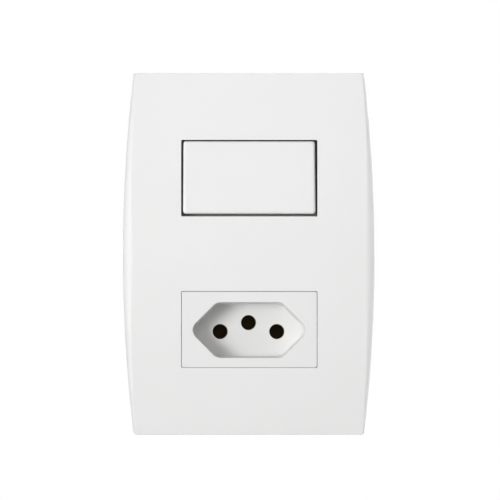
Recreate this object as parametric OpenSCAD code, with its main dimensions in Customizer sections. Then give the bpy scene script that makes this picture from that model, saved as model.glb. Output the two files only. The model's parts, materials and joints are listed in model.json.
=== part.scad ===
// Switch and socket combination for a flush wall box: a curved cover plate on a mounting frame for three
// modules, with a double-width rocker switch above and a recessed three-pin socket outlet below.
// Millimetres. X is to the right, Z is up, the front faces -Y and the wall surface is at Y = 0.
// Every piece is drawn lying on its back (x right, y up, z towards the room) and is then stood up.

/* [Cover plate] */
// Height of the plate
plate_h = 121; // [116:0.5:128]
// Width of the plate at mid height, where its sides bow out most
plate_w = 84.3; // [80:0.1:90]
// Depth of the plate from the wall to the middle of its front
plate_d = 9; // [8.6:0.1:10]
// How far each long side bows out between its ends
side_bow = 3.6; // [2:0.1:6]
// How far the front falls back at the top and bottom ends
crown_drop = 1.2; // [0.6:0.1:1.8]
// Wall thickness of the plate
plate_wall = 2.2; // [1.6:0.1:2.4]
// Radius of the rolled long edges
edge_roll = 3.2; // [2.6:0.1:3.8]
// Radius along the front edge at the top and bottom
end_edge_r = 0.4; // [0.2:0.1:0.8]
// Outline radius of the two top corners
top_corner_r = 0.5; // [0.3:0.1:1.5]
// Outline radius of the two bottom corners
bottom_corner_r = 1.2; // [0.3:0.1:2]

/* [Windows and modules] */
// Width of one module position
module_pitch = 25.3; // [25:0.1:27]
// Width of each window in the plate
window_w = 45.6; // [44:0.1:46.5]
// Height of each window in the plate
window_h = 25.65; // [24.5:0.05:26]
// Corner radius of the windows
window_r = 0.5; // [0.3:0.1:1]
// Thickness of the rim behind each window
skirt_t = 1.2; // [0.8:0.1:1.6]
// Gap between a window and the module that fills it
face_gap = 0.2; // [0.15:0.05:0.4]
// Wall thickness of the moulded module parts
module_wall = 1.2; // [1:0.1:1.5]

/* [Mounting frame] */
// From the widest place of the plate's side to the side of the frame
frame_side_inset = 9.15; // [7:0.05:11]
// From the end of the plate to the end of the frame
frame_end_inset = 7.5; // [5.5:0.1:8.5]
// Thickness of the frame's base
frame_t = 2; // [1.8:0.1:2.4]
// Corner radius of the frame
frame_corner_r = 4; // [2:0.5:8]
// Thickness of the rails that hold the modules
rail_t = 1.6; // [1.2:0.1:2]
// Clearance between the frame's opening and the modules
frame_clear = 0.3; // [0.2:0.05:0.5]
// From the end of the frame's opening to the box screw axis
screw_land = 3.675; // [3.65:0.025:5]
// Length of the adjustment slots for the box screws
slot_len = 6; // [5:0.5:6.5]

/* [Rocker key] */
// Gap between the key and the window at each side
key_side_gap = 0.65; // [0.5:0.05:1]
// Gap between the key and the window above and below it, in mid travel
key_end_gap = 0.55; // [0.5:0.05:1.2]
// How far the middle of the key stands proud of the module face
key_proud = 0.2; // [0:0.05:0.5]
// Radius along the front edges and corners of the key
key_edge_r = 1; // [0.6:0.1:1.1]
// Thickness of the key's front
key_skin = 1.6; // [1.2:0.1:2]
// Depth of the key's side walls
key_skirt = 3; // [2.6:0.1:3.2]
// Depth of the pivot behind the front of the key
pivot_depth = 6; // [5.8:0.1:6.4]
// Radius of the pivot pins
pivot_r = 1.5; // [1.2:0.1:1.6]
// Tilt of the key to either side of its middle position
rocker_tilt = 4; // [3:0.5:4.5]
// Radial clearance of turning pins
pin_clear = 0.06; // [0.03:0.01:0.1]

/* [Switch mechanism] */
// Radius of the plunger bore in the key's boss
plunger_bore_r = 1.9; // [1.7:0.1:2.1]
// Wire diameter of the toggle spring
spring_wire = 0.5; // [0.4:0.05:0.6]
// Number of turns of the toggle spring
spring_turns = 6; // [4:1:8]
// Length of the see-saw contact
seesaw_len = 16; // [15:0.5:17]
// Width of the see-saw contact
seesaw_w = 6; // [5:0.5:7]
// Thickness of the brass strip
strip_t = 1; // [0.8:0.1:1.2]
// Radius of the contact rivets
rivet_r = 1.8; // [1.4:0.1:2]
// Gap between the closed contact faces
contact_gap = 0.1; // [0.05:0.05:0.2]

/* [Plug recess] */
// Half length of the recess outline's core, to the tips of its pointed ends
recess_tip = 15.6; // [15:0.1:15.8]
// Half length of the straight top and bottom of the recess
recess_flat = 9.6; // [9:0.1:10]
// Half height of the recess outline's core
recess_core = 6; // [5.6:0.1:6.1]
// Rounding of the recess outline at the front
recess_r = 3.6; // [3.2:0.1:3.7]
// Draft of the recess walls from rim to floor
recess_draft = 0.9; // [0.3:0.1:1.2]
// Radius of the recess rim
rim_r = 0.3; // [0.2:0.05:0.5]
// How far the recess lies below the middle of its module
recess_drop = 0.2; // [0:0.05:0.4]
// Depth of the recess
recess_depth = 9.5; // [8.5:0.1:10.5]
// Thickness of the recess floor
floor_t = 1.8; // [1.4:0.1:2.2]
// Distance between the two outer pins
pin_pitch = 19; // [18.6:0.1:19.4]
// How far the outer pins lie below the middle of the module
pin_drop = 0.65; // [0:0.05:0.9]
// Height of the middle pin above the outer two
earth_rise = 3; // [2.6:0.1:3.4]
// Diameter of the pin holes
pin_hole_d = 5.1; // [4.3:0.1:5.4]

/* [Module bodies and terminals] */
// Depth of the module bodies behind their front parts
body_d = 16.5; // [16:0.1:20]
// How far the body is set in from the front part at each side
body_step = 1.1; // [0.8:0.1:1.4]
// Thickness of the rear walls
rear_wall = 2; // [1.6:0.1:2.6]
// Outer width of a terminal cage
cage_w = 7; // [6.6:0.1:7.2]
// Length of a terminal cage
cage_len = 5.8; // [5.4:0.1:6]
// Radius of the terminal screws
screw_r = 1.5; // [1.3:0.1:1.6]
// Radius of the wire entries
wire_r = 2; // [1.8:0.1:2.2]
// Outer radius of the pin sleeves
sleeve_r = 3.2; // [3.1:0.05:3.4]
// Wall thickness of the pin sleeves
sleeve_t = 0.8; // [0.6:0.05:0.9]

/* [Hidden] */
$fn = 48;
fine = 900;
white = [0.93, 0.93, 0.92];
ivory = [0.87, 0.87, 0.84];
brass = [0.80, 0.66, 0.36];
steel = [0.72, 0.73, 0.75];
silver = [0.88, 0.88, 0.90];

// Outline arcs of the plate
side_r = (pow(plate_h / 2, 2) + pow(side_bow, 2)) / (2 * side_bow);
crown_r = (pow(plate_h / 2, 2) + pow(crown_drop, 2)) / (2 * crown_drop);
side_angle = asin((plate_h / 2 + 6) / (side_r - plate_w));

// Levels, from the wall surface
face_z = plate_d - crown_r + sqrt(pow(crown_r, 2) - pow(module_pitch, 2));
skirt_z = plate_d - plate_wall - 1;
rail_z = skirt_z - 0.5;
split_z = face_z - recess_depth - floor_t;
back_z = split_z - body_d;
rear_z = back_z - rear_wall;

// Sizes of the modules
body_r = 0.6;
module_w = window_w - 2 * face_gap;
module_h = window_h - 2 * face_gap;
body_w = module_w - 2 * body_step;
body_end_step = 0.325;
body_h = module_h - 2 * body_end_step;
body_in_x = body_w / 2 - module_wall;
body_in_y = body_h / 2 - module_wall;

// Frame, its opening, screws, catches and plate clips
frame_w = plate_w - 2 * frame_side_inset;
frame_h = plate_h - 2 * frame_end_inset;
open_x = module_w / 2 + frame_clear;
open_y = module_pitch + module_h / 2 + frame_clear;
side_land = frame_w / 2 - open_x - rail_t;
vent_x = open_x + rail_t + 0.35 * side_land;
vent_w = 0.28 * side_land;
vent_len = 14;
lip_t = 1.2;
box_screw_y = open_y + screw_land;
box_screw_r = 1.75;
box_shank_r = 1.5;
box_head_r = 3.4;
box_head_t = 2.2;
thread_len = 24;
catch_w = 5.4;
catch_t = 1.2;
catch_out = frame_clear + 0.6;
catch_z = 2.6;
leg_side_land = 2.6;
leg_end_land = 8;
leg_x = frame_w / 2 - leg_side_land;
leg_y = frame_h / 2 - leg_end_land;
leg_t = 1.4;
leg_w = 6;
leg_hook = 0.8;
leg_gap = 0.3;
rib_t = 1.2;

// Rocker key
key_w = window_w - 2 * key_side_gap;
key_h = window_h - 2 * key_end_gap;
key_z = face_z + key_proud;
key_skirt_z = key_z - key_skirt;
pivot_z = key_z - pivot_depth;
ear_r = pivot_r + 0.8;
ear_t = 1.6;
lug_r = pivot_r + pin_clear + 0.8;
cradle_in_x = module_w / 2 - module_wall;
lug_x = cradle_in_x - 2.1;
ear_x = lug_x - 0.4 - ear_t;
cradle_z = pivot_z + 1.6;
deck_t = 1.5;

// Toggle
boss_r = plunger_bore_r + 1.1;
boss_end = split_z - 0.5;
bore_top = key_z - key_skin - 1.2;
plunger_r = plunger_bore_r - 0.1;
nose_r = plunger_r - 0.6;
plunger_top = pivot_z - 3.5;
seesaw_z = split_z - 4.1;
plunger_tip = seesaw_z + 0.2;
spring_r = plunger_bore_r - 0.3 - spring_wire / 2;
spring_sides = 8;
spring_steps = 16;

// See-saw contact and its fulcrum
fulcrum_r = 1.1;
fulcrum_z = seesaw_z - strip_t - 0.3;
fork_x = seesaw_w / 2 + 0.5;
fork_r = fulcrum_r + pin_clear + 1.2;
rivet_y = seesaw_len / 2 - 1.4;
rivet_t = 0.9;
pad = 0.7;
dome_r = 5;
// The dome's centre, turned with the see-saw, gives the level of the fixed rivet's face
dome_up = seesaw_z - strip_t - rivet_t + dome_r - fulcrum_z;
fixed_face_z = fulcrum_z + dome_up * cos(rocker_tilt) - rivet_y * sin(rocker_tilt) - dome_r - contact_gap;
fixed_rivet_t = 0.8;
fixed_strip_z = fixed_face_z - fixed_rivet_t;
fixed_strip_y = rivet_y + rivet_r + pad;

// Terminals
cage_t = 1;
cage_off = 0.2;
cage_z0 = back_z + 0.2;
cage_z1 = cage_z0 + cage_len;
cage_mid = (cage_z0 + cage_z1) / 2;
cage_x = body_in_x - cage_off - cage_w / 2;
cage_y = body_in_y - cage_off - cage_w / 2;
cage_in = cage_w / 2 - cage_t;
clamp_t = 1;
clamp_x = 0.1;
wall_rib_t = 1.2;
wall_rib_x = cage_x - cage_w / 2 - 1.7;
tongue_w = 2 * (wall_rib_x - 2.4);
tongue_h = 1.6;
tongue_t = 0.9;
groove_in = 3;
groove_w = 1;
thread_clear = 0.05;
head_x = cage_w / 2 + cage_off;
head_r = screw_r + 1;
head_t = module_wall + 0.7;
head_hole_r = head_r + 0.3;

// Socket
sleeve_top = split_z - 0.5;
sleeve_bottom = cage_z1 + strip_t;
strap_w = cage_w - cage_t;
recess_z = face_z - recess_depth;
cup_wall = 1.2;
cover_x = 13.8;
cover_y = 9.3;
cover_r = 1.15;
cover_boss_r = 2.3;
cover_head_r = 2.1;
cover_head_t = 1.3;
cover_head_z = back_z - 0.4;
clip_len = 3;
clip_t = 0.4;

function dir(a) = [cos(a), sin(a)];

// Stands a piece up from its back
module stand() {
    rotate([90, 0, 0]) children();
}

// Straight solid of a flat shape between two levels
module prism(z0, z1) {
    translate([0, 0, z0]) linear_extrude(z1 - z0) children();
}

// Side view shape (y, z) carried along x
module bar(x0, x1) {
    translate([x0, 0, 0]) rotate([90, 0, 90]) linear_extrude(x1 - x0) children();
}

module pin_x(x0, x1, r) {
    translate([x0, 0, 0]) rotate([0, 90, 0]) cylinder(h = x1 - x0, r = r);
}

module pin_z(z0, z1, r) {
    translate([0, 0, z0]) cylinder(h = z1 - z0, r = r);
}

module rounded_rect(w, h, r) {
    square([w - 2 * r, h], center = true);
    square([w, h - 2 * r], center = true);
    for (x = [-1, 1], y = [-1, 1]) translate([x * (w / 2 - r), y * (h / 2 - r)]) circle(r = r);
}

module slot_shape(length, width) {
    square([width, length - width], center = true);
    for (s = [-1, 1]) translate([0, s * (length - width) / 2]) circle(d = width);
}

// What a rounded corner takes away, between the two directions where its arc meets the sides
module corner_trim(r, a0, a1) {
    difference() {
        polygon([[0, 0], 2 * r * dir(a0), 3 * r * dir((a0 + a1) / 2), 2 * r * dir(a1)]);
        circle(r = r);
    }
}

function heading(p, q) = atan2(q[1] - p[1], q[0] - p[0]);

// Convex outline, given anticlockwise, grown by a side profile (u outwards, v up): the profile is run along
// each side and turned at each corner through the angle between the two sides
module grown(points, z0, z1) {
    n = len(points);
    prism(z0, z1) polygon(points);
    for (i = [0:n - 1]) {
        p = points[i];
        q = points[(i + 1) % n];
        along = heading(p, q);
        turn = (heading(q, points[(i + 2) % n]) - along + 360) % 360;
        translate([q[0], q[1], 0]) {
            rotate_extrude(angle = turn, start = along - 90) children();
            rotate([0, 0, along - 90]) rotate([90, 0, 0]) linear_extrude(norm(q - p)) children();
        }
    }
}

// One long side of the plate: a disc with a rolled rim
module side_disc(inset, back) {
    top = plate_d - inset;
    roll = max(edge_roll - inset, 0.4);
    translate([plate_w / 2 - side_r, 0, 0])
        rotate_extrude(angle = 2 * side_angle, start = -side_angle, $fn = fine)
            difference() {
                translate([side_r - plate_w, -back]) square([plate_w - inset, top + back]);
                translate([side_r - inset - roll, top - roll]) difference() {
                    square(2 * roll);
                    circle(r = roll, $fn = 64);
                }
            }
}

// Side view of the plate: a shallow arc between its two ends
module crown_shape(inset, back) {
    half = plate_h / 2 - inset;
    arc_r = crown_r - inset;
    edge_y = half - end_edge_r;
    lean = asin(edge_y / (arc_r - end_edge_r));
    difference() {
        intersection() {
            translate([0, plate_d - crown_r]) circle(r = arc_r, $fn = 2 * fine);
            translate([-half, -back]) square([2 * half, plate_d + back]);
        }
        for (s = [0, 1]) mirror([s, 0])
            translate([edge_y, plate_d - crown_r + (arc_r - end_edge_r) * cos(lean)])
                corner_trim(end_edge_r, 0, 90 - lean);
    }
}

module plate_body(inset, back) {
    intersection() {
        side_disc(inset, back);
        mirror([1, 0, 0]) side_disc(inset, back);
        bar(-plate_w, plate_w) crown_shape(inset, back);
    }
}

// Rounds one outline corner of the plate, the top right one before mirroring
module plate_corner(r) {
    y = plate_h / 2 - r;
    lean = asin(y / (side_r - r));
    translate([plate_w / 2 - side_r + (side_r - r) * cos(lean), y]) corner_trim(r, lean, 90);
}

module at_windows() {
    for (s = [-1, 1]) translate([0, s * module_pitch, 0]) children();
}

module at_four(x, y) {
    for (i = [0, 1], j = [0, 1]) mirror([i, 0, 0]) mirror([0, j, 0]) translate([x, y, 0]) children();
}

// Clip leg with a barb that hooks behind the frame
module clip_leg() {
    translate([0, leg_w / 2, 0]) rotate([90, 0, 0]) linear_extrude(leg_w)
        polygon([
            [0, plate_d - 1.5], [0, 0.4], [leg_t, 0.4], [leg_t + leg_hook, 0.9],
            [leg_t, 1.1], [leg_t, plate_d - 1.5]
        ]);
}

module face_plate() {
    color(white) stand() difference() {
        union() {
            difference() {
                plate_body(0, 0);
                plate_body(plate_wall, 1);
                prism(-1, plate_d + 1) {
                    for (s = [0, 1]) mirror([s, 0]) plate_corner(top_corner_r);
                    for (s = [0, 1]) mirror([s, 0]) mirror([0, 1]) plate_corner(bottom_corner_r);
                }
            }
            intersection() {
                plate_body(plate_wall / 2, 0);
                union() {
                    at_windows() prism(skirt_z, plate_d)
                        rounded_rect(window_w + 2 * skirt_t, window_h + 2 * skirt_t, window_r + skirt_t);
                    at_four(leg_x - leg_t / 2, leg_y) clip_leg();
                    for (y = [-1, 0, 1]) translate([0, y * 2 * module_pitch, 0])
                        prism(skirt_z + 0.4, plate_d)
                            square([plate_w - 2 * side_bow - 0.8, rib_t], center = true);
                }
            }
        }
        at_windows() prism(-1, plate_d + 1) rounded_rect(window_w, window_h, window_r);
    }
}

// Opening in a rail for a module's catch
module catch_pocket() {
    translate([0, 0, catch_z]) cube([4 * open_x, catch_w + 0.6, catch_t + 0.6], center = true);
}

module support_frame() {
    color(ivory) stand() difference() {
        union() {
            prism(0, frame_t) rounded_rect(frame_w, frame_h, frame_corner_r);
            for (s = [-1, 1]) translate([s * (open_x + rail_t / 2), 0, 0])
                prism(0, rail_z) square([rail_t, 2 * open_y + 3], center = true);
            for (s = [-1, 1]) translate([s * (frame_w - lip_t) / 2, 0, 0])
                prism(0, frame_t + 1) square([lip_t, frame_h - 4 * frame_corner_r], center = true);
        }
        prism(-1, rail_z + 1) square([2 * open_x, 2 * open_y], center = true);
        for (y = [-1, 0, 1]) translate([0, y * module_pitch, 0]) catch_pocket();
        for (s = [-1, 1]) translate([0, s * box_screw_y, 0])
            prism(-1, frame_t + 1) rotate(90) slot_shape(slot_len, 2 * box_shank_r + 0.8);
        at_four(leg_x - leg_t / 2, leg_y) {
            translate([-2 * leg_gap, -leg_w / 2 - leg_gap, -1])
                cube([leg_t + 3 * leg_gap, leg_w + 2 * leg_gap, frame_t + 3]);
            translate([-2 * leg_gap, -leg_w / 2 - leg_gap, -1])
                cube([leg_t + leg_hook + 3 * leg_gap, leg_w + 2 * leg_gap, 2.3]);
        }
        for (s = [-1, 1], y = [-1, 0, 1]) translate([s * vent_x, y * module_pitch, 0])
            prism(-1, frame_t + 2) slot_shape(vent_len, vent_w);
    }
}

module box_screws() {
    color(steel) stand() for (s = [-1, 1]) translate([0, s * box_screw_y, 0]) {
        pin_z(-thread_len, -0.2, box_screw_r);
        pin_z(-0.2, frame_t, box_shank_r);
        difference() {
            translate([0, 0, frame_t]) rotate_extrude() intersection() {
                square([box_head_r, box_head_t]);
                translate([0, box_head_t - 5]) circle(r = 5, $fn = 96);
            }
            translate([0, 0, frame_t + box_head_t]) cube([2 * box_head_r, 0.9, 2.4], center = true);
        }
    }
}

// Places a rocker piece, tilted to its rest position
module on_rocker() {
    stand() translate([0, module_pitch, pivot_z]) rotate([-rocker_tilt, 0, 0])
        translate([0, 0, -pivot_z]) children();
}

module key_profile() {
    intersection() {
        square([key_edge_r, key_z]);
        union() {
            translate([0, key_skirt_z]) square([key_edge_r, key_skirt - key_edge_r]);
            translate([0, key_z - key_edge_r]) circle(r = key_edge_r);
        }
    }
}

module rocker_key() {
    half_x = key_w / 2 - key_edge_r;
    half_y = key_h / 2 - key_edge_r;
    skin_z = key_z - key_skin;
    color(white) on_rocker() difference() {
        union() {
            difference() {
                grown([[half_x, half_y], [-half_x, half_y], [-half_x, -half_y], [half_x, -half_y]],
                    key_skirt_z, key_z) key_profile();
                prism(key_skirt_z - 1, skin_z)
                    rounded_rect(key_w - 2 * module_wall, key_h - 2 * module_wall, 0.5);
            }
            for (s = [-1, 1]) mirror([s < 0 ? 1 : 0, 0, 0]) {
                bar(ear_x, ear_x + ear_t) {
                    translate([0, pivot_z]) circle(r = ear_r);
                    translate([-ear_r, pivot_z]) square([2 * ear_r, skin_z - pivot_z + 0.5]);
                }
                translate([0, 0, pivot_z]) pin_x(ear_x + ear_t / 2, cradle_in_x - 0.3, pivot_r);
            }
            bar(-ear_x - ear_t / 2, ear_x + ear_t / 2)
                translate([-0.6, key_skirt_z]) square([1.2, key_skirt - 0.5]);
            pin_z(boss_end, skin_z + 0.5, boss_r);
            for (x = [-1, 1]) translate([x * key_w / 4, 0, 0])
                prism(key_skirt_z + 0.4, skin_z + 0.5) square([1, key_h - 2], center = true);
        }
        pin_z(boss_end - 1, bore_top, plunger_bore_r);
    }
}

module cradle_side() {
    translate([0, pivot_z]) circle(r = lug_r);
    translate([-lug_r, split_z]) square([2 * lug_r, pivot_z - split_z]);
}

// Catch on the side of a module, a ramp that snaps into the rail
module catches() {
    for (s = [0, 1]) mirror([s, 0, 0]) translate([module_w / 2 - 0.4, catch_w / 2, catch_z])
        rotate([90, 0, 0]) linear_extrude(catch_w) polygon([
            [0, -catch_t / 2], [0.4, -catch_t / 2], [0.4 + catch_out, catch_t / 4],
            [0.4 + catch_out, catch_t / 2], [0, catch_t / 2]
        ]);
}

module rocker_cradle() {
    slot = boss_r + (pivot_z - boss_end) * sin(rocker_tilt) + 0.6;
    color(white) stand() translate([0, module_pitch, 0]) difference() {
        union() {
            prism(split_z, cradle_z) difference() {
                rounded_rect(module_w, module_h, window_r);
                square([2 * cradle_in_x, module_h - 2 * module_wall], center = true);
            }
            prism(split_z, split_z + deck_t) square([module_w - 1, module_h - 1], center = true);
            for (s = [0, 1]) mirror([s, 0, 0]) bar(lug_x, module_w / 2 - 0.4) cradle_side();
            catches();
        }
        prism(split_z - 1, split_z + deck_t + 1) square([2 * boss_r + 1.2, 2 * slot], center = true);
        for (s = [0, 1]) mirror([s, 0, 0]) translate([0, 0, pivot_z])
            pin_x(lug_x - 1, cradle_in_x, pivot_r + pin_clear);
    }
}

// Coil spring: a round wire section carried along a helix
module coil(z0, z1, r, wire, turns) {
    steps = turns * spring_steps;
    span = z1 - z0 - wire;
    rings = [for (i = [0:steps]) let (a = 360 * i / spring_steps, z = z0 + wire / 2 + span * i / steps)
        for (k = [0:spring_sides - 1]) let (b = 360 * k / spring_sides, u = r + wire / 2 * cos(b))
            [u * cos(a), u * sin(a), z + wire / 2 * sin(b)]];
    sides = [for (i = [0:steps - 1], k = [0:spring_sides - 1])
        let (k1 = (k + 1) % spring_sides, low = i * spring_sides, high = low + spring_sides)
            [low + k, high + k, high + k1, low + k1]];
    first = [for (k = [0:spring_sides - 1]) k];
    last = [for (k = [spring_sides - 1:-1:0]) steps * spring_sides + k];
    polyhedron(points = rings, faces = concat(sides, [first, last]), convexity = 10);
}

module toggle_spring() {
    color(steel) on_rocker() coil(plunger_top + 0.1, bore_top - 0.1, spring_r, spring_wire, spring_turns);
}

module toggle_plunger() {
    neck = plunger_tip + nose_r + 0.9;
    color(ivory) on_rocker() {
        pin_z(neck, plunger_top, plunger_r);
        translate([0, 0, plunger_tip + nose_r]) {
            sphere(r = nose_r);
            cylinder(h = neck - plunger_tip - nose_r, r1 = nose_r, r2 = plunger_r);
        }
    }
}

// Moulded body of a module, open at the front
module body_shell(z0) {
    prism(z0, split_z) difference() {
        rounded_rect(body_w, body_h, body_r);
        square([2 * body_in_x, 2 * body_in_y], center = true);
    }
}

module switch_housing() {
    rib_h = body_in_y - fixed_strip_y - 0.3;
    color(ivory) stand() translate([0, module_pitch, 0]) difference() {
        union() {
            body_shell(back_z);
            for (s = [-1, 1], t = [-1, 1]) translate([s * wall_rib_x, t * body_in_y, 0])
                prism(back_z, split_z) square([wall_rib_t, 2 * rib_h], center = true);
        }
        for (s = [0, 1]) mirror([s, 0, 0]) translate([0, 0, cage_mid])
            pin_x(body_in_x - 1, body_w, head_hole_r);
    }
}

module switch_rear_cover() {
    color(ivory) stand() translate([0, module_pitch, 0]) difference() {
        union() {
            prism(rear_z, back_z) rounded_rect(body_w, body_h, body_r);
            for (s = [-1, 1]) translate([0, s * (body_in_y - 0.6), 0])
                prism(back_z - 0.5, back_z + tongue_h) square([tongue_w, tongue_t], center = true);
        }
        for (s = [-1, 1]) translate([s * cage_x, 0, 0]) pin_z(rear_z - 1, back_z + 1, wire_r);
        prism(rear_z - 1, rear_z + 0.6) difference() {
            square([cage_x, body_h - 2 * groove_in], center = true);
            square([cage_x - 2 * groove_w, body_h - 2 * groove_in - 2 * groove_w], center = true);
        }
    }
}

// Places a see-saw piece, tilted to its rest position
module on_seesaw() {
    stand() translate([0, module_pitch, fulcrum_z]) rotate([rocker_tilt, 0, 0])
        translate([0, 0, -fulcrum_z]) children();
}

module moving_contact() {
    color(brass) on_seesaw() {
        prism(seesaw_z - strip_t, seesaw_z) rounded_rect(seesaw_w, seesaw_len, 1.4);
        translate([0, 0, fulcrum_z]) pin_x(-fork_x - strip_t - 0.4, fork_x + strip_t + 0.4, fulcrum_r);
    }
}

module moving_contact_rivet() {
    base_z = seesaw_z - strip_t;
    color(silver) on_seesaw() translate([0, -rivet_y, 0]) intersection() {
        pin_z(base_z - rivet_t, base_z, rivet_r);
        translate([0, 0, base_z - rivet_t + dome_r]) sphere(r = dome_r, $fn = 128);
    }
}

// Square terminal cage with a threaded hole in its outer wall
module terminal_cage() {
    difference() {
        prism(cage_z0, cage_z1) difference() {
            square(cage_w, center = true);
            square(2 * cage_in, center = true);
        }
        translate([0, 0, cage_mid]) pin_x(cage_in - 1, cage_w, screw_r + thread_clear);
    }
}

module clamp_plate() {
    translate([clamp_x, -cage_in + 0.3, cage_z0 + 0.4]) cube([clamp_t, 2 * cage_in - 0.6, cage_len - 0.8]);
}

module terminal_screw() {
    translate([0, 0, cage_mid]) {
        pin_x(clamp_x + clamp_t, head_x, screw_r);
        difference() {
            pin_x(head_x, head_x + head_t, head_r);
            translate([head_x + head_t, 0, 0]) cube([1.6, 0.8, 3 * head_r], center = true);
        }
    }
}

// Terminal places: the side of the module that they face is +x before mirroring or turning
module left_terminal() {
    translate([-cage_x, 0, 0]) mirror([1, 0, 0]) children();
}

module right_terminal() {
    translate([cage_x, 0, 0]) children();
}

module top_terminal() {
    translate([0, cage_y, 0]) rotate([0, 0, 90]) children();
}

module common_terminal() {
    base_z = cage_z1 - strip_t;
    color(brass) stand() translate([0, module_pitch, 0]) {
        left_terminal() terminal_cage();
        prism(base_z, cage_z1) translate([-cage_x + cage_in, -fork_r])
            square([cage_x - cage_in + fork_x + strip_t, 2 * fork_r]);
        for (s = [0, 1]) mirror([s, 0, 0]) bar(fork_x, fork_x + strip_t) difference() {
            union() {
                translate([0, fulcrum_z]) circle(r = fork_r);
                translate([-fork_r, base_z]) square([2 * fork_r, fulcrum_z - base_z]);
            }
            translate([0, fulcrum_z]) circle(r = fulcrum_r + pin_clear);
        }
    }
}

module fixed_contact_terminal() {
    color(brass) stand() translate([0, module_pitch, 0]) {
        right_terminal() terminal_cage();
        prism(fixed_strip_z - strip_t, fixed_strip_z) translate([-rivet_r - pad, -fixed_strip_y])
            square([cage_x - cage_in + rivet_r + pad, 2 * rivet_r + 2 * pad]);
        translate([cage_x - cage_w / 2, -fixed_strip_y, 0]) prism(cage_z1 - 0.5, fixed_strip_z)
            square([cage_t, fixed_strip_y + cage_w / 2]);
    }
}

module fixed_contact_rivet() {
    color(silver) stand() translate([0, module_pitch - rivet_y, 0])
        pin_z(fixed_strip_z, fixed_face_z, rivet_r);
}

module switch_clamp_plates() {
    color(steel) stand() translate([0, module_pitch, 0]) {
        left_terminal() clamp_plate();
        right_terminal() clamp_plate();
    }
}

module switch_terminal_screws() {
    color(steel) stand() translate([0, module_pitch, 0]) {
        left_terminal() terminal_screw();
        right_terminal() terminal_screw();
    }
}

// Six corners of the recess outline: its two pointed ends and the ends of its straight stretches
function hexagon(tip, flat, half) =
    [[tip, 0], [flat, half], [-flat, half], [-tip, 0], [-flat, -half], [flat, -half]];

recess_core_points = hexagon(recess_tip, recess_flat, recess_core);

// Outline of the cup round the recess, at one distance from the core along every side
module cup_outline(t) {
    slant = atan2(recess_core, recess_tip - recess_flat);
    tip = recess_tip + t / sin(slant);
    polygon(hexagon(tip, tip - (recess_core + t) / tan(slant), recess_core + t));
}

// Side profile of the plug recess: drafted wall and a rounded rim, whose arc meets the face at a slight angle
module recess_profile() {
    rim_z = face_z - 0.8 * rim_r;
    polygon([
        [0, recess_z], [recess_r - recess_draft, recess_z],
        [recess_r - rim_r, rim_z], [recess_r - rim_r, face_z + 1], [0, face_z + 1]
    ]);
    difference() {
        translate([recess_r - rim_r, rim_z]) square([rim_r, face_z + 1 - rim_z]);
        translate([recess_r, rim_z]) circle(r = rim_r);
    }
}

line_pin = [-pin_pitch / 2, -pin_drop];
neutral_pin = [pin_pitch / 2, -pin_drop];
earth_pin = [0, earth_rise - pin_drop];

module at_pins() {
    for (pin = [line_pin, neutral_pin, earth_pin]) translate([pin[0], pin[1], 0]) children();
}

module at_cover_screws() {
    for (s = [-1, 1]) translate([-s * cover_x, s * cover_y, 0]) children();
}

module socket_front() {
    color(white) stand() translate([0, -module_pitch, 0]) difference() {
        union() {
            difference() {
                prism(split_z, face_z) rounded_rect(module_w, module_h, window_r);
                prism(split_z - 1, face_z - 2)
                    rounded_rect(module_w - 2 * module_wall, module_h - 2 * module_wall, 0.5);
            }
            intersection() {
                prism(split_z, face_z - 1) rounded_rect(module_w, module_h, window_r);
                union() {
                    prism(split_z, face_z) translate([0, -recess_drop]) cup_outline(recess_r + cup_wall);
                    at_cover_screws() pin_z(split_z, face_z, cover_boss_r);
                }
            }
            catches();
        }
        translate([0, -recess_drop, 0]) grown(recess_core_points, recess_z, face_z + 1) recess_profile();
        at_pins() pin_z(split_z - 1, recess_z + 1, pin_hole_d / 2);
        at_cover_screws() pin_z(split_z - 1, split_z + 5, cover_r + thread_clear);
    }
}

module socket_rear_housing() {
    rib_x = pin_pitch / 4;
    color(ivory) stand() translate([0, -module_pitch, 0]) difference() {
        union() {
            body_shell(back_z);
            prism(rear_z, back_z) rounded_rect(body_w, body_h, body_r);
            intersection() {
                at_cover_screws() pin_z(back_z - 0.5, split_z, cover_boss_r);
                prism(back_z - 1, split_z) rounded_rect(body_w, body_h, body_r);
            }
            for (s = [-1, 1]) translate([s * rib_x, 0, 0])
                prism(back_z - 0.5, split_z - 1) square([0.8, 2 * body_in_y + 0.4], center = true);
        }
        for (s = [0, 1]) mirror([s, 0, 0]) translate([0, 0, cage_mid])
            pin_x(body_in_x - 1, body_w, head_hole_r);
        translate([0, 0, cage_mid]) rotate([0, 0, 90]) pin_x(body_in_y - 1, body_w, head_hole_r);
        for (s = [-1, 1]) translate([s * cage_x, 0, 0]) pin_z(rear_z - 1, back_z + 0.5, wire_r);
        translate([0, cage_y, 0]) pin_z(rear_z - 1, back_z + 0.5, wire_r);
        at_cover_screws() {
            pin_z(rear_z - 1, split_z + 1, cover_r + 0.15);
            pin_z(rear_z - 1, cover_head_z, cover_head_r + 0.25);
        }
    }
}

// Spring sleeve for one pin, with a strap to its terminal cage
module pin_contact(pin, cage) {
    span = cage - pin;
    translate([pin[0], pin[1], 0]) difference() {
        pin_z(cage_z1, sleeve_top, sleeve_r);
        pin_z(sleeve_bottom, sleeve_top + 1, sleeve_r - sleeve_t);
        translate([-0.35, -2 * sleeve_r, sleeve_bottom + 2])
            cube([0.7, 2 * sleeve_r, sleeve_top - sleeve_bottom]);
    }
    translate([pin[0], pin[1], 0]) rotate([0, 0, atan2(span[1], span[0])])
        prism(cage_z1, sleeve_bottom)
            translate([0, -strap_w / 2]) square([norm(span) + strap_w / 2, strap_w]);
}

module line_contact() {
    color(brass) stand() translate([0, -module_pitch, 0]) {
        pin_contact(line_pin, [-cage_x, 0]);
        left_terminal() terminal_cage();
    }
}

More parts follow.
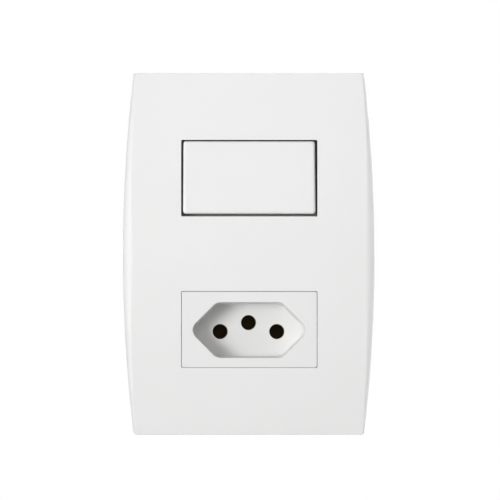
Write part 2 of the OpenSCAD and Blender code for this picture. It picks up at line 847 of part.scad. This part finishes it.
module neutral_contact() {
    color(brass) stand() translate([0, -module_pitch, 0]) {
        pin_contact(neutral_pin, [cage_x, 0]);
        right_terminal() terminal_cage();
    }
}

module earth_contact() {
    color(brass) stand() translate([0, -module_pitch, 0]) {
        pin_contact(earth_pin, [0, cage_y]);
        top_terminal() terminal_cage();
    }
}

module contact_spring_clips() {
    clip_r = sleeve_r + 0.05;
    color(steel) stand() translate([0, -module_pitch, 0]) at_pins() difference() {
        pin_z(sleeve_top - 1 - clip_len, sleeve_top - 1, clip_r + clip_t);
        pin_z(sleeve_top - 2 - clip_len, sleeve_top, clip_r);
        translate([-0.6, 0, sleeve_top - 2 - clip_len]) cube([1.2, 2 * clip_r, clip_len + 2]);
    }
}

module socket_clamp_plates() {
    color(steel) stand() translate([0, -module_pitch, 0]) {
        left_terminal() clamp_plate();
        right_terminal() clamp_plate();
        top_terminal() clamp_plate();
    }
}

module socket_terminal_screws() {
    color(steel) stand() translate([0, -module_pitch, 0]) {
        left_terminal() terminal_screw();
        right_terminal() terminal_screw();
        top_terminal() terminal_screw();
    }
}

module socket_cover_screws() {
    color(steel) stand() translate([0, -module_pitch, 0]) at_cover_screws() {
        pin_z(cover_head_z, split_z + 4.5, cover_r);
        difference() {
            pin_z(cover_head_z - cover_head_t, cover_head_z, cover_head_r);
            translate([0, 0, cover_head_z - cover_head_t])
                cube([3 * cover_head_r, 0.7, 1.2], center = true);
        }
    }
}

face_plate();
support_frame();
box_screws();
rocker_key();
rocker_cradle();
toggle_spring();
toggle_plunger();
switch_housing();
switch_rear_cover();
moving_contact();
moving_contact_rivet();
common_terminal();
fixed_contact_terminal();
fixed_contact_rivet();
switch_clamp_plates();
switch_terminal_screws();
socket_front();
socket_rear_housing();
line_contact();
neutral_contact();
earth_contact();
contact_spring_clips();
socket_clamp_plates();
socket_terminal_screws();
socket_cover_screws();
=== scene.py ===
import json
import math

import bmesh
import bpy
import numpy as np
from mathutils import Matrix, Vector


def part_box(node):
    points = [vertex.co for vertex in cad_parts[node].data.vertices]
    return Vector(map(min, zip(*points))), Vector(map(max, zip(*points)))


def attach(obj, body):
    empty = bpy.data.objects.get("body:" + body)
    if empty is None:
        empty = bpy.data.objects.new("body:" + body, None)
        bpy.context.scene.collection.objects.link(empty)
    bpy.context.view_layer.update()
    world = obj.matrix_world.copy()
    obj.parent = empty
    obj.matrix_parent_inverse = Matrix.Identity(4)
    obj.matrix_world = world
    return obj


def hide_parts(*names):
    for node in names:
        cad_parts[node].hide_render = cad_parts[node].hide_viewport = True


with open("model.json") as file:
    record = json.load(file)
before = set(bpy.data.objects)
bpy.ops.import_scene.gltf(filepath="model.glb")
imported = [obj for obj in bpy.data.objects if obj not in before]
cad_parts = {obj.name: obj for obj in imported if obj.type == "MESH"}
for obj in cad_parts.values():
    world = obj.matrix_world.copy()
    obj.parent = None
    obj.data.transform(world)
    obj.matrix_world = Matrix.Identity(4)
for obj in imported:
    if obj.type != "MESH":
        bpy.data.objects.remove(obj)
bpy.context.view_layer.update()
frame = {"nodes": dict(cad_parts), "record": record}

# Mounting frame: the moulding that the wall box carries, and that holds the modules and the cover plate.
# It is glass-filled nylon, off-white and matt, and the filler gives it a faint mottle.
MM = 0.001
DRIFT_MM = 22
nodes = frame["nodes"]


def srgb(text):
    """Linear colour of an sRGB hex value: c / 12.92 below 0.04045, else ((c + 0.055) / 1.055) ^ 2.4."""
    values = [int(text[i:i + 2], 16) / 255 for i in (0, 2, 4)]
    linear = [c / 12.92 if c <= 0.04045 else ((c + 0.055) / 1.055) ** 2.4 for c in values]
    return (*linear, 1.0)


def join(material, source, output, target, name):
    """Links one node's output to another node's input."""
    material.node_tree.links.new(source.outputs[output], target.inputs[name])


def add_node(material, kind, settings=None, links=None):
    """Adds one shader node, sets its fields or sockets (by name or number), and links its inputs from
    (node, output) pairs."""
    node = material.node_tree.nodes.new(kind)
    for name, value in (settings or {}).items():
        if isinstance(name, int) or name in node.inputs:
            node.inputs[name].default_value = value
        else:
            setattr(node, name, value)
    for name, (source, output) in (links or {}).items():
        join(material, source, output, node, name)
    return node


def start_material(name):
    """A material with its Principled shader already joined to the output, and the object's coordinates."""
    material = bpy.data.materials.new(name)
    material.use_nodes = True
    material.node_tree.nodes.clear()
    shader = add_node(material, "ShaderNodeBsdfPrincipled")
    add_node(material, "ShaderNodeOutputMaterial", links={"Surface": (shader, "BSDF")})
    place = add_node(material, "ShaderNodeTexCoord")
    return material, shader, place


def surface(material, shader, tone, grain, colours, roughness, depth_mm):
    """Gives two noises to the shader: the tone runs between the two colours, and the grain runs between the
    two values of roughness and raises the surface by up to the depth."""
    mixed = add_node(material, "ShaderNodeMix",
                     {"data_type": "RGBA", "A": srgb(colours[0]), "B": srgb(colours[1])},
                     {"Factor": (tone, "Fac")})
    join(material, mixed, "Result", shader, "Base Color")
    rough = add_node(material, "ShaderNodeMapRange", {"To Min": roughness[0], "To Max": roughness[1]},
                     {"Value": (grain, "Fac")})
    join(material, rough, "Result", shader, "Roughness")
    height = add_node(material, "ShaderNodeBump", {"Strength": 1.0, "Distance": depth_mm * MM},
                      {"Height": (grain, "Fac")})
    join(material, height, "Normal", shader, "Normal")


def moulded(name, colours, roughness, grain_mm, depth_mm, ior=1.54, spread=0.06):
    """Injection-moulded plastic: a slow tone drift between two shades of the pigment, and the spark-eroded
    grain of the tool as a fine noise in height and in roughness."""
    material, shader, place = start_material(name)
    drift = add_node(material, "ShaderNodeTexNoise", {"Scale": 1 / (DRIFT_MM * MM), "Detail": 3.0},
                     {"Vector": (place, "Object")})
    grain = add_node(material, "ShaderNodeTexNoise", {"Scale": 1 / (grain_mm * MM), "Detail": 4.0},
                     {"Vector": (place, "Object")})
    surface(material, shader, drift, grain, colours, (roughness - spread, roughness + spread), depth_mm)
    shader.inputs["IOR"].default_value = ior
    return material


def dress(material, *names):
    """Gives the material to CAD nodes."""
    for name in names:
        nodes[name].data.materials.clear()
        nodes[name].data.materials.append(material)


NYLON = {"colours": ("D9D8D0", "D0CFC6"), "roughness": 0.62, "grain_mm": 0.5, "depth_mm": 0.012, "ior": 1.53}
dress(moulded("nylon_glass_filled", **NYLON), "support_frame")

# Box screws: two slotted steel screws with domed heads, which hold the frame to the wall box.
# They are turned, rolled and zinc plated, so they shine in a thin bluish grey. Lengths are in millimetres.
# The thread's pitch is drawn coarser than such a screw has, so that it shows.
STREAK_STRETCH = 12
STREAK_DEPTH_MM = 0.002
STREAK_ROUGHNESS = (-0.08, 0.10)
ZINC = ("B9BEC4", "A4AAB2")
SCREW_MAJOR_R, SCREW_SHANK_R, SCREW_SIDES = 1.75, 1.5, 36
THREAD_PITCH, THREAD_DEPTH, THREAD_FADE, THREAD_FRONT_Y, STEPS_PER_PITCH = 1.0, 0.42, 1.2, 0.2, 8
POINT_LENGTH, POINT_SHARE = 0.9, 0.62
HEAD_R, HEAD_DOME_R, HEAD_RIM, DOME_RINGS = 3.4, 5.0, 0.4, 14
SLOT_HALF, SLOT_FLOOR, SLOT_WALL = 0.45, 1.2, 0.02
SHARP_ANGLE = math.radians(40)
MERGE_M, CUT_M = 1e-7, 1e-8


def metal(name, colours, roughness, streak_mm, along):
    """Rolled or turned metal: a colour that drifts with the plating, and streaks that are fine across and
    long along the direction the tool ran, which is axis 0, 1 or 2."""
    material, shader, place = start_material(name)
    stretch = [1 / (streak_mm * MM)] * 3
    stretch[along] = 1 / (STREAK_STRETCH * streak_mm * MM)
    mapping = add_node(material, "ShaderNodeMapping", {"Scale": stretch}, {"Vector": (place, "Object")})
    streaks = add_node(material, "ShaderNodeTexNoise", {"Scale": 1.0, "Detail": 5.0},
                       {"Vector": (mapping, "Vector")})
    limits = [roughness + change for change in STREAK_ROUGHNESS]
    surface(material, shader, streaks, streaks, colours, limits, STREAK_DEPTH_MM)
    shader.inputs["Metallic"].default_value = 1.0
    return material


def grid_piece(name, points, material, close_v=True):
    """A mesh over a grid of points (u, v, xyz), with one four-sided face per cell. It closes round u, and
    round v as well unless told otherwise."""
    count_u, count_v = points.shape[:2]
    u, v = np.meshgrid(np.arange(count_u), np.arange(count_v if close_v else count_v - 1), indexing="ij")
    next_u, next_v = (u + 1) % count_u, (v + 1) % count_v
    corners = [(u, v), (u, next_v), (next_u, next_v), (next_u, v)]
    faces = np.stack([i * count_v + j for i, j in corners], -1)
    mesh = bpy.data.meshes.new(name)
    mesh.from_pydata(points.reshape(-1, 3), [], faces.reshape(-1, 4).tolist())
    mesh.materials.append(material)
    piece = bpy.data.objects.new(name, mesh)
    bpy.context.scene.collection.objects.link(piece)
    return piece


def cut_slot(mesh, top_y, frame_y):
    """Cuts the slot across the head: the dome is split along the slot's walls, and what lies between them
    goes down to the slot's floor."""
    work = bmesh.new()
    work.from_mesh(mesh)
    bmesh.ops.remove_doubles(work, verts=work.verts, dist=MERGE_M)
    for x in (-SLOT_HALF, -SLOT_HALF + SLOT_WALL, SLOT_HALF - SLOT_WALL, SLOT_HALF):
        dome = [face for face in work.faces if face.calc_center_median().y < (frame_y - HEAD_RIM) * MM]
        around = dict.fromkeys(part for face in dome for part in (*face.edges, *face.verts))
        bmesh.ops.bisect_plane(work, geom=dome + list(around), plane_co=(x * MM, 0, 0), plane_no=(1, 0, 0),
                               dist=CUT_M)
    bmesh.ops.recalc_face_normals(work, faces=work.faces)
    work.to_mesh(mesh)
    work.free()
    place = np.empty(3 * len(mesh.vertices))
    mesh.vertices.foreach_get("co", place)
    place = place.reshape(-1, 3)
    in_slot = np.abs(place[:, 0]) < (SLOT_HALF - SLOT_WALL / 2) * MM
    place[in_slot, 1] = np.maximum(place[in_slot, 1], (top_y + SLOT_FLOOR) * MM)
    mesh.vertices.foreach_set("co", place.ravel())


def box_screw(name, centre, tip_y, frame_y, top_y, material):
    """A slotted screw along Y as one grid of angle and length. Along the thread the radius is the major one
    less the depth times |2 * frac(length / pitch - angle / turn) - 1|, which fades in at both ends of the
    thread. The head is a rim and a dome: height = top - R + sqrt(R^2 - radius^2)."""
    steps = int((tip_y - THREAD_FRONT_Y) / THREAD_PITCH * STEPS_PER_PITCH)
    thread_y = np.linspace(tip_y, THREAD_FRONT_Y, steps)
    fade = np.clip(np.minimum(tip_y - thread_y, thread_y - THREAD_FRONT_Y) / THREAD_FADE, 0, 1)
    point = np.clip((tip_y - thread_y) / POINT_LENGTH, 0, 1)
    angle = np.linspace(0, 2 * np.pi, SCREW_SIDES, endpoint=False)
    wave = np.abs(2 * np.mod(thread_y[None, :] / THREAD_PITCH - angle[:, None] / (2 * np.pi), 1) - 1)
    thread_r = (SCREW_MAJOR_R - THREAD_DEPTH * wave * fade) * (POINT_SHARE + (1 - POINT_SHARE) * point)
    dome_r = HEAD_R * np.cos(np.linspace(0, np.pi / 2, DOME_RINGS))
    dome_y = top_y + HEAD_DOME_R - np.sqrt(HEAD_DOME_R ** 2 - dome_r ** 2)
    plain_y = np.concatenate([[THREAD_FRONT_Y, frame_y, frame_y], dome_y])
    plain_r = np.concatenate([[SCREW_SHANK_R, SCREW_SHANK_R, HEAD_R], dome_r])
    length = np.concatenate([[tip_y], thread_y, plain_y])
    radius = np.hstack([np.zeros((SCREW_SIDES, 1)), thread_r, np.tile(plain_r, (SCREW_SIDES, 1))])
    points = np.stack([radius * np.cos(angle)[:, None], np.broadcast_to(length, radius.shape),
                       radius * np.sin(angle)[:, None]], -1)
    piece = grid_piece(name, points * MM + (0, 0, centre), material, close_v=False)
    cut_slot(piece.data, top_y, frame_y)
    piece.data.shade_smooth()
    piece.data.set_sharp_from_angle(angle=SHARP_ANGLE)
    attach(piece, "root")
    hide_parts("box_screws")


zinc = metal("steel_zinc_plated", ZINC, roughness=0.34, streak_mm=0.35, along=0)
zinc_turned = metal("steel_zinc_turned", ZINC, roughness=0.30, streak_mm=0.3, along=1)
dress(zinc, "box_screws")
screws_low, screws_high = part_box("box_screws")
frame_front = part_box("support_frame")[0].y
screw_z = screws_high.z - HEAD_R * MM
for name, side in (("box_screw_top", 1), ("box_screw_bottom", -1)):
    box_screw(name, side * screw_z, screws_high.y / MM, frame_front / MM, screws_low.y / MM, zinc_turned)

# Switch module: the body behind the key's cradle, and its cover, both moulded in polycarbonate.
# Inside are stamped brass terminals, a see-saw contact with silver rivets, and the toggle parts.
# The brass is dull from handling, and the silver is coined smooth.
BRASS = {"colours": ("C9A765", "B3904F"), "roughness": 0.36, "streak_mm": 0.25, "along": 2}
polycarbonate = moulded("polycarbonate_ivory", ("DEDDD6", "D6D5CD"), roughness=0.5, grain_mm=0.35,
                        depth_mm=0.006, ior=1.58)
brass = metal("brass_stamped", **BRASS)
silver = metal("silver_coined", ("E4E4E6", "D2D2D6"), roughness=0.22, streak_mm=0.5, along=1)
spring_steel = metal("spring_steel_drawn", ("8E9298", "777B82"), roughness=0.38, streak_mm=0.2, along=2)
dress(polycarbonate, "switch_housing", "switch_rear_cover", "toggle_plunger")
dress(brass, "moving_contact", "common_terminal", "fixed_contact_terminal")
dress(silver, "moving_contact_rivet", "fixed_contact_rivet")
dress(spring_steel, "toggle_spring")
dress(zinc, "switch_clamp_plates", "switch_terminal_screws")

# Socket module: the body behind the front, and three sleeve contacts with spring clips.
# The contacts are the same stamped brass; inside the sleeves painted shade makes them nearly black.
# The clamp plates and all screws are zinc plated.
PIN_AXES = [mount["pos_m"] for mount in frame["record"]["mounts"] if mount["name"].endswith("_pin_hole")]
SLEEVE_BORE = 2.5 * MM
# Painted shade: the nearly black tone inside the sleeves.
SLEEVE_PAINTED_SHADE = "241C12"


def lay_over(material, colour, amount, output):
    """Lays a second colour over the material's own, as far as the amount says."""
    shader = material.node_tree.nodes["Principled BSDF"]
    own = shader.inputs["Base Color"].links[0]
    mixed = add_node(material, "ShaderNodeMix", {"data_type": "RGBA", "B": srgb(colour)},
                     {"Factor": (amount, output), "A": (own.from_node, own.from_socket.name)})
    join(material, mixed, "Result", shader, "Base Color")


def shaded_sleeve_brass():
    """Stamped brass with painted shade inside the pin sleeves: the dark tone covers every point that lies
    within the sleeve's bore of one of the three pin axes, which run along Y."""
    material = metal("brass_sleeve_painted_shade", **BRASS)
    place = add_node(material, "ShaderNodeTexCoord")
    flat = add_node(material, "ShaderNodeVectorMath", {"operation": "MULTIPLY", 1: (1, 0, 1)},
                    {0: (place, "Object")})
    first, *others = [add_node(material, "ShaderNodeVectorMath", {"operation": "DISTANCE", 1: (x, 0, z)},
                               {0: (flat, "Vector")}) for x, _, z in PIN_AXES]
    nearest = first
    for gap in others:
        nearest = add_node(material, "ShaderNodeMath", {"operation": "MINIMUM"},
                           {0: (nearest, "Value"), 1: (gap, "Value")})
    inside = add_node(material, "ShaderNodeMath", {"operation": "LESS_THAN", 1: SLEEVE_BORE},
                      {0: (nearest, "Value")})
    lay_over(material, SLEEVE_PAINTED_SHADE, inside, "Value")
    return material


dress(polycarbonate, "socket_rear_housing")
dress(shaded_sleeve_brass(), "line_contact", "neutral_contact", "earth_contact")
dress(spring_steel, "contact_spring_clips")
dress(zinc, "socket_clamp_plates", "socket_terminal_screws", "socket_cover_screws")

# Module collars: a thin ring moulded in the frame's nylon round the body of each module.
# It lies on the wall side of the frame and closes the joint between module and frame against dust.
# Outlines are half width, half height and corner radius, in millimetres. Every narrow joint gets painted
# shade.
COLLAR_Y = (0.08, 0.60)
COLLAR_INNER = (22.65, 12.68, 0.6)
COLLAR_OUTER = (24.4, 14.0, 1.2)
CORNER_STEPS = 8
# Painted shade: the dark colour laid into narrow joints, where shade falls.
JOINT_PAINTED_SHADE = "403F3C"
DULL_SPECULAR = 0.28


def painted_joint_shade(material, shade_colour, reach_mm, lit_open, shaded_open):
    """Painted shade in narrow joints: a dark colour laid into the base colour where shade falls. The share of
    the directions round a point that no surface blocks within the reach of a joint is its openness: no
    painted shade above the first limit, full painted shade below the second. The specular level of the whole
    surface is lowered too."""
    openness = add_node(material, "ShaderNodeAmbientOcclusion", {"samples": 8, "Distance": reach_mm * MM})
    amount = add_node(material, "ShaderNodeMapRange", {"From Min": lit_open, "From Max": shaded_open},
                      {"Value": (openness, "AO")})
    lay_over(material, shade_colour, amount, "Result")
    material.node_tree.nodes["Principled BSDF"].inputs["Specular IOR Level"].default_value = DULL_SPECULAR
    return material


def rounded_outline(half_w, half_h, radius):
    """Points round a rectangle with quarter-circle corners: each corner's centre plus radius * (cos, sin) of
    the angle, which runs a quarter turn per corner."""
    angle = np.concatenate([np.linspace(k, k + 1, CORNER_STEPS) for k in range(4)]) * np.pi / 2
    corner = np.repeat(np.array([(1, 1), (-1, 1), (-1, -1), (1, -1)]), CORNER_STEPS, axis=0)
    centre = corner * (half_w - radius, half_h - radius)
    return centre + radius * np.column_stack([np.cos(angle), np.sin(angle)])


def collar(name, centre_z, material):
    """A flat ring whose section is a rectangle: inner and outer outline at the front, then at the back."""
    inner, outer = rounded_outline(*COLLAR_INNER), rounded_outline(*COLLAR_OUTER)
    front, back = COLLAR_Y
    section = [(inner, front), (outer, front), (outer, back), (inner, back)]
    rings = [np.column_stack([edge[:, 0], np.full(len(edge), y), edge[:, 1]]) for edge, y in section]
    piece = grid_piece(name, np.stack(rings, axis=1) * MM + (0, 0, centre_z), material)
    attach(piece, "root")


# The collars get painted shade deep in the joints between module and frame.
collar_nylon = painted_joint_shade(moulded("nylon_collar", **NYLON), JOINT_PAINTED_SHADE, reach_mm=3.0, lit_open=0.75,
                            shaded_open=0.5)
for name, housing in (("switch_collar", "switch_housing"), ("socket_collar", "socket_rear_housing")):
    low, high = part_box(housing)
    collar(name, (low.z + high.z) / 2, collar_nylon)

# Front parts: cover plate, rocker key and the cradle round it, all in white ABS.
# It is moulded against a fine satin tool, so it is smooth with a soft sheen and hardly any grain.
# The cradle is seen only in the joint round the key, where painted shade makes it grey.
WHITE = ("F0F0F0", "EEEEEE")
SATIN = {"roughness": 0.52, "grain_mm": 0.8, "depth_mm": 0.0008, "spread": 0.03}
# Grey painted shade on the cradle, in the joint round the key.
CRADLE_PAINTED_SHADE = "7E7D79"
# Plate and key get painted shade in the joints round the key and the windows.
dress(painted_joint_shade(moulded("abs_white_plate", WHITE, **SATIN), JOINT_PAINTED_SHADE, reach_mm=2.0, lit_open=0.68,
                   shaded_open=0.36), "face_plate")
dress(painted_joint_shade(moulded("abs_white_key", WHITE, **SATIN), JOINT_PAINTED_SHADE, reach_mm=2.0, lit_open=0.52,
                   shaded_open=0.30), "rocker_key")
dress(painted_joint_shade(moulded("abs_white_cradle", WHITE, **SATIN), CRADLE_PAINTED_SHADE, reach_mm=6.0, lit_open=0.80,
                   shaded_open=0.45), "rocker_cradle")

# Socket front: the same plastic a shade greyer. Inside the plug recess the walls and floor get painted shade,
# a tone darker than the face.
SOCKET_WHITE = ("EEEEEE", "ECECEC")
# Painted shade: the darker tone of the recess walls and floor.
RECESS_PAINTED_SHADE = "E2E2E1"
RECESS_SHADE_EDGE = (0.1 * MM, 0.5 * MM)
face_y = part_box("socket_front")[0].y


def socket_abs_recess_shade():
    """White ABS with painted shade below the face: a darker tone that comes in over the depth of the rim's
    edge.
    """
    material = moulded("abs_white_socket", SOCKET_WHITE, **SATIN)
    place = add_node(material, "ShaderNodeTexCoord")
    axes = add_node(material, "ShaderNodeSeparateXYZ", links={"Vector": (place, "Object")})
    recess_shade = add_node(material, "ShaderNodeMapRange",
                     {"From Min": face_y + RECESS_SHADE_EDGE[0], "From Max": face_y + RECESS_SHADE_EDGE[1]},
                     {"Value": (axes, "Y")})
    lay_over(material, RECESS_PAINTED_SHADE, recess_shade, "Result")
    return material


# The socket front gets painted shade in its narrow joints too.
dress(painted_joint_shade(socket_abs_recess_shade(), JOINT_PAINTED_SHADE, reach_mm=2.0, lit_open=0.46, shaded_open=0.28), "socket_front")

# Camera: far off and nearly level, a little to the left of the unit and just below it.
# The photograph's scale gives the lens, and the place of the unit's middle in it gives the point aimed at.
IMAGE = 500
PX_PER_MM = 2.99
CENTRE_PX = (249.3, 253.8)
PLATE_FRONT_Y = -9 * MM
VIEW_AZIMUTH = math.radians(1.5)
VIEW_DROP = math.radians(0.8)
DISTANCE = 3.0
SENSOR_WIDTH = 36
aim = Vector((
    (IMAGE / 2 - CENTRE_PX[0]) / PX_PER_MM * MM,
    PLATE_FRONT_Y,
    (CENTRE_PX[1] - IMAGE / 2) / PX_PER_MM * MM,
))
sight = Vector((
    math.sin(VIEW_AZIMUTH) * math.cos(VIEW_DROP),
    math.cos(VIEW_AZIMUTH) * math.cos(VIEW_DROP),
    math.sin(VIEW_DROP),
))
camera_data = bpy.data.cameras.new("camera")
camera_data.sensor_width = SENSOR_WIDTH
camera_data.lens = SENSOR_WIDTH * DISTANCE / (IMAGE / PX_PER_MM * MM)
camera_data.clip_start = 0.05
camera_data.clip_end = 20
camera = bpy.data.objects.new("camera", camera_data)
camera.location = aim - DISTANCE * sight
camera.rotation_euler = sight.to_track_quat("-Z", "Y").to_euler()
bpy.context.scene.collection.objects.link(camera)
bpy.context.scene.camera = camera

# Light: a large soft box to the left, which models the front, and a smaller one close above it.
# Sheets below, to the right, overhead and behind light the other sides, and the room adds an even light.
# Where the room itself is looked at, it is white, which is brighter than the light that it gives.
ROOM_LIGHT = 0.11
WHITE_LIGHT = (1, 1, 1, 1)


def soft_light(name, azimuth, elevation, distance, size, level, mirrored=True):
    """A square soft box that faces the middle of the unit. Its level is the light that it gives to a white
    sheet turned straight at it: a Lambert source of power P and area A gives P / (pi^2 * distance^2)."""
    data = bpy.data.lights.new(name, "AREA")
    data.shape = "SQUARE"
    data.size = size
    data.energy = level * math.pi ** 2 * distance ** 2
    lamp = bpy.data.objects.new(name, data)
    across, up = math.radians(azimuth), math.radians(elevation)
    toward = Vector((math.sin(across) * math.cos(up), -math.cos(across) * math.cos(up), math.sin(up)))
    lamp.location = distance * toward
    lamp.rotation_euler = (-toward).to_track_quat("-Z", "Y").to_euler()
    lamp.visible_glossy = mirrored
    bpy.context.scene.collection.objects.link(lamp)


def looked_at(material):
    """1 where a surface is seen directly, in gloss or through glass, and 0 where it only gives light."""
    path = add_node(material, "ShaderNodeLightPath")
    mirrored = add_node(material, "ShaderNodeMath", {"operation": "MAXIMUM"},
                        {0: (path, "Is Glossy Ray"), 1: (path, "Is Transmission Ray")})
    return add_node(material, "ShaderNodeMath", {"operation": "MAXIMUM"},
                    {0: (path, "Is Camera Ray"), 1: (mirrored, "Value")})


soft_light("left_box", azimuth=-40, elevation=-1, distance=2.2, size=0.9, level=0.81)
soft_light("top_box", azimuth=0, elevation=20, distance=0.22, size=0.12, level=0.20)
soft_light("low_sheet", azimuth=0, elevation=-50, distance=1.0, size=0.5, level=0.23)
soft_light("right_sheet", azimuth=96, elevation=0, distance=1.0, size=0.8, level=0.66, mirrored=False)
soft_light("over_sheet", azimuth=180, elevation=78, distance=1.3, size=0.9, level=0.45)
soft_light("back_sheet", azimuth=165, elevation=20, distance=1.6, size=1.2, level=0.60)
world = bpy.data.worlds.new("room")
world.use_nodes = True
world.node_tree.nodes.clear()
room = add_node(world, "ShaderNodeBackground", {"Color": WHITE_LIGHT, "Strength": ROOM_LIGHT})
bright = add_node(world, "ShaderNodeBackground", {"Color": WHITE_LIGHT, "Strength": 1.0})
both = add_node(world, "ShaderNodeMixShader",
                links={0: (looked_at(world), "Value"), 1: (room, 0), 2: (bright, 0)})
add_node(world, "ShaderNodeOutputWorld", links={"Surface": (both, 0)})
bpy.context.scene.world = world
bpy.context.scene.view_settings.view_transform = "Standard"

# Floor: a plain pale sheet of paper, matt, which lies well below the unit.
# It glows where it is looked at, so that it looks nearly white and still takes the unit's shadow.
FLOOR_REACH, FLOOR_Z = 3.0, -0.35
FLOOR_GLOW = 0.62
corners = [(x * FLOOR_REACH, y * FLOOR_REACH, FLOOR_Z) for x, y in ((-1, -1), (1, -1), (1, 1), (-1, 1))]
floor_mesh = bpy.data.meshes.new("floor")
floor_mesh.from_pydata(corners, [], [(0, 1, 2, 3)])
floor = bpy.data.objects.new("floor", floor_mesh)
bpy.context.scene.collection.objects.link(floor)
paper, paper_shader, _ = start_material("paper_floor")
paper_shader.inputs["Base Color"].default_value = srgb("BDBDBB")
paper_shader.inputs["Roughness"].default_value = 0.9
paper_shader.inputs["Emission Color"].default_value = srgb("F4F4F2")
glow = add_node(paper, "ShaderNodeMath", {"operation": "MULTIPLY", 1: FLOOR_GLOW},
                {0: (looked_at(paper), "Value")})
join(paper, glow, "Value", paper_shader, "Emission Strength")
floor_mesh.materials.append(paper)
